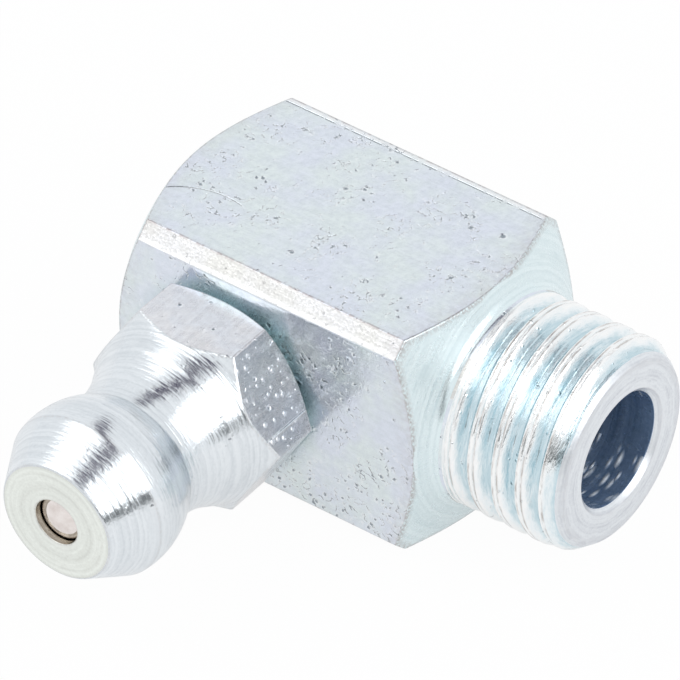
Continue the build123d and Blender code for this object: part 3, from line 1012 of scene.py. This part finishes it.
# Painted shade: the bore's blue-greys are painted far darker than the zinc outside, for the shade inside the
# bore.
bore_steel = turned_zinc(
    "drilled_bore_oiled_zinc_painted_shade", *thread_axis, "#8ca3c0", "#637d9c",
    feed=0.16, depth=0.06 * MM, rough=(0.2, 0.35), nodules=0.3, metal=0.5, strokes=0.8)
inlet_steel = turned_zinc(
    "drilled_inlet_thin_zinc", *head_axis, "#d8d4c8", "#a39c90",
    feed=0.1, depth=0.006 * MM, rough=(0.2, 0.35))
print("turned finishes for the cones, end, nose, nose's flat, bore and inlet")

# %% [markdown]
# ## The rolled thread's plating
# The dies burnish the thread, so it is bright. Its roots are painted darker and bluer, as painted shade in
# the roots. On the crest the seam's two lips are worn through to a thin brown line. All of that follows the
# thread, so the colours read the numbers kept on it.

# %% Thread zinc
thread_zinc, tree, mm = start_finish("zinc_plate_on_rolled_thread")
groove = add(tree, "Attribute", attribute_name="groove").outputs["Fac"]
cloud = add(tree, "TexNoise", {"Vector": mm, "Scale": 0.9, "Detail": 3.0, "Roughness": 0.6})
stretched = add(tree, "Mapping", {"Vector": mm, "Scale": (7.0, 1.3, 1.3)})
grit = add(tree, "TexNoise", {"Vector": stretched, "Scale": 1.0, "Detail": 4.0, "Roughness": 0.65})
# Painted shade: the deeper in the groove, the darker and bluer the colour.
root = add(tree, "Math", {0: groove, 1: 0.5}, operation="MULTIPLY")
depth_tone = add(tree, "Math", {0: grit, 1: 0.8, 2: root}, operation="MULTIPLY_ADD")
colour = add(tree, "ValToRGB", {"Fac": depth_tone}, stops=[
    (0.4, "#fdfdfc"), (0.65, "#f1f7f9"), (0.9, "#cbdfe6")])
browned = wear_edges(tree, colour, grit, (0.42, 0.6), (0.0, 0.8), "#a99b92")
rough = add(tree, "MapRange", {
    "Value": cloud, "From Min": 0.35, "From Max": 0.65, "To Min": 0.09, "To Max": 0.2})
dome = specks(tree, mm, 0.3, 0.3, 0.04, 0.1)
relief = add(tree, "Math", {0: grit, 1: 0.9, 2: dome}, operation="MULTIPLY_ADD")
bump = add(tree, "Bump", {"Height": relief, "Strength": 0.6, "Distance": 0.07 * MM})
end_finish(tree, browned, rough, Normal=bump)
print("thread finish reads the attributes groove and worn_edge")

# %% [markdown]
# ## Bearing steel and spring wire
# A lapped ball is nearly a mirror, with a faint warm tint beside the zinc. Drawn music wire is darker, with
# a fine mottle in its tint and roughness.

# %% Ball and wire
def plain_steel(name, grain, dark, pale, rough):
    """Bare steel: one noise drives both the tint and the roughness. grain is its scale per mm."""
    material, tree, mm = start_finish(name)
    haze = add(tree, "TexNoise", {"Vector": mm, "Scale": grain, "Detail": 3.0})
    colour = add(tree, "ValToRGB", {"Fac": haze}, stops=[(0.3, dark), (0.7, pale)])
    satin = add(tree, "MapRange", {"Value": haze, "To Min": rough[0], "To Max": rough[1]})
    end_finish(tree, colour, satin)
    return material

ball_steel = plain_steel("lapped_bearing_steel", 3.0, "#ddd3ce", "#efe8e4", rough=(0.04, 0.12))
wire_steel = plain_steel("drawn_music_wire", 7.0, "#8f8f92", "#b9babd", rough=(0.22, 0.42))
print("finishes in all:", len(bpy.data.materials))

# %% [markdown]
# ## Dressing the frame
# Each piece takes its finishes, stands for its CAD node and rides on that node's body.

# %% Finishes and bodies
def dress(piece, finishes, body, node):
    """Gives a piece its finishes in slot order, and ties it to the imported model."""
    for finish in finishes:
        piece.data.materials.append(finish)
    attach(piece, body)
    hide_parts(node)

elbow_finishes = (flat_zinc, corner_zinc, cone_zinc, thread_zinc, end_zinc, bore_steel)
dress(elbow, elbow_finishes, "nipple", "elbow_body")
head_finishes = (hexagon_zinc, nose_zinc, nose_flat_zinc, inlet_steel)
dress(head, head_finishes, "nipple", "nipple_head")
dress(check_ball, (ball_steel,), "valve_ball", "check_ball")
dress(spring, (wire_steel,), "nipple", "ball_spring")
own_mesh(spring)

# %% [markdown]
# ## Studio
# Bright metal shows the room it stands in, so the room is most of the picture. The part lies
# in a white light tent, with a darker gap overhead between its two bright sides, and a dim
# patch low down to the right of the camera. The world holds that tent, two soft lamps stand in
# for its sides, and the floor is white paper.

# %% Light tent
world = bpy.data.worlds.new("light_tent")
bpy.context.scene.world = world
tree = empty_tree(world)
direction = add(tree, "TexCoord").outputs["Generated"]
gap_side, dim_way = (0.884, 0.467, -0.03), (0.787, -0.61, 0.06)
side = add(tree, "VectorMath", {0: direction, 1: gap_side}, operation="DOT_PRODUCT")
side = add(tree, "Math", {0: side}, operation="ABSOLUTE")
up = add(tree, "SeparateXYZ", {0: direction}).outputs[2]
toward = add(tree, "VectorMath", {0: direction, 1: dim_way}, operation="DOT_PRODUCT")
limits = ((side, 0.16, 0.04), (up, 0.66, 0.82), (toward, 0.72, 0.96), (up, 0.3, 0.12))
open_gap, overhead, low_way, at_horizon = [
    add(tree, "MapRange", {"Value": value, "From Min": start, "From Max": end},
        interpolation_type="SMOOTHSTEP") for value, start, end in limits]
gap = add(tree, "Math", {0: open_gap, 1: overhead}, operation="MULTIPLY")
dim = add(tree, "Math", {0: low_way, 1: at_horizon}, operation="MULTIPLY")
sides = add(tree, "Mix", {0: dim, 6: linear("#f6f8fa"), 7: linear("#666a6c")}, data_type="RGBA")
tent = add(tree, "Mix", {0: gap, 6: sides, 7: linear("#484259")}, data_type="RGBA")
rays = add(tree, "LightPath")
seen = add(tree, "Mix", {0: rays.outputs["Is Camera Ray"], 6: tent, 7: (1, 1, 1, 1)}, data_type="RGBA")
sky = add(tree, "Background", {"Color": seen, "Strength": 1.0})
add(tree, "OutputWorld", {"Surface": sky})
print("light tent with a gap across", gap_side)

# %% Lamps
def soft_lamp(name, way, distance, size, power):
    """A square soft lamp that faces the part from that direction."""
    data = bpy.data.lights.new(name, "AREA")
    data.size = size
    data.energy = power
    lamp = bpy.data.objects.new(name, data)
    place = Vector(way).normalized() * distance
    lamp.location = place
    lamp.rotation_euler = place.to_track_quat("Z", "Y").to_euler()
    bpy.context.scene.collection.objects.link(lamp)
    print(name, power, "W,", size, "m wide")

soft_lamp("lamp_left", (-0.46, -0.42, 0.78), 0.5, 0.38, 0.32)
soft_lamp("lamp_right", (0.785, -0.069, 0.616), 0.5, 0.42, 0.8)

# %% Floor of white paper
floor_half, floor_gap = 0.6, 0.01 * MM
floor_mesh = bpy.data.meshes.new("paper_floor")
floor_corners = np.array([[-1, -1, 0], [1, -1, 0], [1, 1, 0], [-1, 1, 0]]) * floor_half
floor_corners[:, 2] = cad_box[0][2] - floor_gap
floor_mesh.from_pydata(floor_corners.tolist(), [], [[0, 1, 2, 3]])
floor = bpy.data.objects.new("paper_floor", floor_mesh)
bpy.context.scene.collection.objects.link(floor)
floor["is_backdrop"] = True
paper = bpy.data.materials.new("white_paper")
tree = empty_tree(paper)
matt = add(tree, "BsdfDiffuse", {"Color": linear("#e8e9ea")})
glow = add(tree, "Emission", {"Color": (1, 1, 1, 1), "Strength": 1.0})
rays = add(tree, "LightPath")
seen = add(tree, "Math", {0: rays.outputs["Is Camera Ray"], 1: 0.97}, operation="MULTIPLY")
share = add(tree, "Math", {0: rays.outputs["Is Glossy Ray"], 1: 0.58, 2: seen}, operation="MULTIPLY_ADD")
add(tree, "OutputMaterial", {"Surface": add(tree, "MixShader", {0: share, 1: matt, 2: glow})})
floor_mesh.materials.append(paper)

# %% Sizes
sizes = {"cad": [list(corner) for corner in cad_box], "visual": [list(corner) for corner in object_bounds()]}
for name, (low, high) in sizes.items():
    print(name, "box in mm:", [round((b - a) / MM, 3) for a, b in zip(low, high)])
